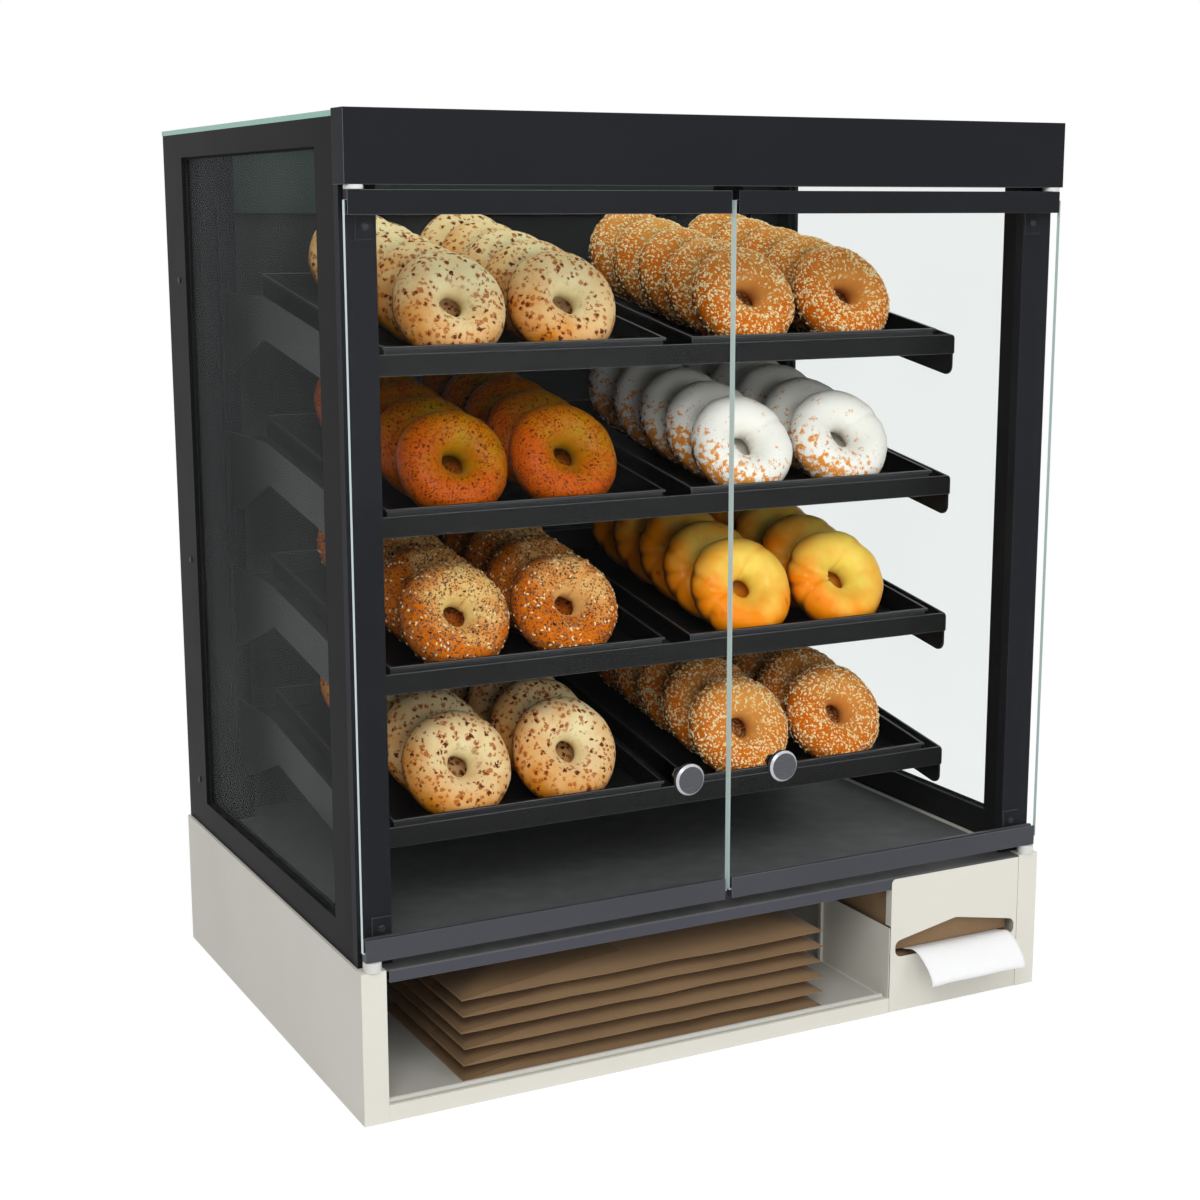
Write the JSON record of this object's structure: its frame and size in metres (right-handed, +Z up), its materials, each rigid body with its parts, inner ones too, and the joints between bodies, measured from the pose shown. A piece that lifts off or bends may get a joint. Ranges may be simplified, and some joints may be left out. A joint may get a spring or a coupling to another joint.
{
  "type": "countertop bread display bin",
  "caption": "Glazed countertop cabinet with swinging glass doors, sloping shelves with lift-out trays, and a base with an open bag bay and a slotted tissue compartment.",
  "frame": {"origin": "middle of the footprint, at the underside that stands on the counter", "axes": "+Z up, -Y towards the customer's side with the doors, +X to the customer's right"},
  "size_m": [0.9, 0.6726, 1.0626],
  "materials": {
    "cream_paint": "satin",
    "black_paint": "satin",
    "frame_black": "painted satin",
    "bar_paint": "satin",
    "gloss_black": "gloss",
    "black_rubber": "matte",
    "side_glass": "polished",
    "roof_glass": "polished",
    "door_glass": "polished",
    "rail_paint": "anodised satin",
    "steel": "satin",
    "nylon": "satin",
    "knob_metal": "satin",
    "tray_plastic": "semi-gloss"
  },
  "bodies": {
    "cabinet": {"base_side_left": "cream_paint", "base_side_right": "cream_paint", "base_floor": "cream_paint", "base_back": "cream_paint", "bag_liner": "cream_paint", "tissue_divider": "cream_paint", "tissue_panel": "cream_paint", "side_frame_left": "frame_black", "side_frame_right": "frame_black", "side_liner_left": "frame_black", "side_liner_right": "frame_black", "deck_plate": "black_paint", "front_post_left": "black_paint", "front_post_right": "black_paint", "rear_post_left": "black_paint", "rear_post_right": "black_paint", "shelf_standards": "black_paint", "front_header": "black_paint", "rear_header": "black_paint", "post_plates": "black_paint", "shelf_1": "black_paint", "shelf_2": "black_paint", "shelf_3": "black_paint", "shelf_4": "black_paint", "shelf_brackets_left": "black_paint", "shelf_brackets_right": "black_paint", "deck_front_bar": "bar_paint", "back_panel": "gloss_black", "side_gaskets": "black_rubber", "door_stop": "black_rubber", "side_glass_left": "side_glass", "side_glass_right": "side_glass", "roof_glass": "roof_glass", "side_screws": "steel", "plate_screws": "steel", "back_screws": "steel", "pivot_bushings": "nylon"},
    "door_left": {"door_glass_left": "door_glass", "door_top_rail_left": "rail_paint", "door_bottom_rail_left": "rail_paint", "door_pins_left": "steel", "door_knob_left": "knob_metal", "knob_nut_left": "steel"},
    "door_right": {"door_glass_right": "door_glass", "door_top_rail_right": "rail_paint", "door_bottom_rail_right": "rail_paint", "door_pins_right": "steel", "door_knob_right": "knob_metal", "knob_nut_right": "steel"},
    "tray_1_left": {"tray_1_left": "tray_plastic"},
    "tray_1_right": {"tray_1_right": "tray_plastic"},
    "tray_2_left": {"tray_2_left": "tray_plastic"},
    "tray_2_right": {"tray_2_right": "tray_plastic"},
    "tray_3_left": {"tray_3_left": "tray_plastic"},
    "tray_3_right": {"tray_3_right": "tray_plastic"},
    "tray_4_left": {"tray_4_left": "tray_plastic"},
    "tray_4_right": {"tray_4_right": "tray_plastic"}
  },
  "joints": [
    {"name": "door_left_hinge", "type": "hinge", "parent": "cabinet", "child": "door_left", "pos_m": [-0.435, -0.31165, 0.58], "axis": [0, 0, -1], "range_deg": [0, 105]},
    {"name": "door_right_hinge", "type": "hinge", "parent": "cabinet", "child": "door_right", "pos_m": [0.435, -0.31165, 0.58], "axis": [0, 0, 1], "range_deg": [0, 105]},
    {"name": "tray_1_left_lift", "type": "slide", "parent": "cabinet", "child": "tray_1_left", "axis": [0, 0, 1], "range_m": [0, 0.025]},
    {"name": "tray_1_right_lift", "type": "slide", "parent": "cabinet", "child": "tray_1_right", "axis": [0, 0, 1], "range_m": [0, 0.025]},
    {"name": "tray_2_left_lift", "type": "slide", "parent": "cabinet", "child": "tray_2_left", "axis": [0, 0, 1], "range_m": [0, 0.025]},
    {"name": "tray_2_right_lift", "type": "slide", "parent": "cabinet", "child": "tray_2_right", "axis": [0, 0, 1], "range_m": [0, 0.025]},
    {"name": "tray_3_left_lift", "type": "slide", "parent": "cabinet", "child": "tray_3_left", "axis": [0, 0, 1], "range_m": [0, 0.025]},
    {"name": "tray_3_right_lift", "type": "slide", "parent": "cabinet", "child": "tray_3_right", "axis": [0, 0, 1], "range_m": [0, 0.025]},
    {"name": "tray_4_left_lift", "type": "slide", "parent": "cabinet", "child": "tray_4_left", "axis": [0, 0, 1], "range_m": [0, 0.025]},
    {"name": "tray_4_right_lift", "type": "slide", "parent": "cabinet", "child": "tray_4_right", "axis": [0, 0, 1], "range_m": [0, 0.025]}
  ]
}
